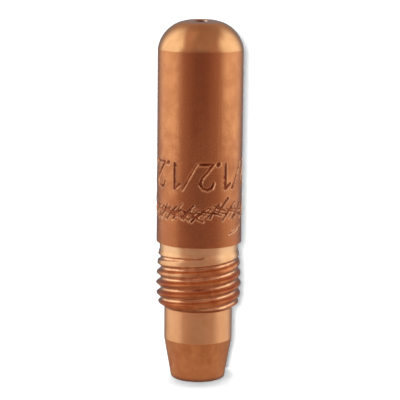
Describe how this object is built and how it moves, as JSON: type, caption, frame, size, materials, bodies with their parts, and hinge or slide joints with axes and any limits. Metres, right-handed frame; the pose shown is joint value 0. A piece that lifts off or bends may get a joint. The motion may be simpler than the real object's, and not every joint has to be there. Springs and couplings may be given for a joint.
{
  "type": "welding contact tip",
  "caption": "Copper contact tip for a wire-fed welding torch: round nose, drawn body, relief, two-start rolled thread, pilot and tapered seat, with a wire bore right through.",
  "frame": {"origin": "centre of the flat tail face, on the axis of the wire bore", "axes": "+Z along the wire bore from the tail to the nose; +X and +Y are set by the thread, whose two grooves run out at the top towards -Y and +Y"},
  "size_m": [0.009, 0.009, 0.0381],
  "materials": {
    "copper": null
  },
  "bodies": {
    "root": {"contact_tip": "copper"}
  },
  "joints": []
}
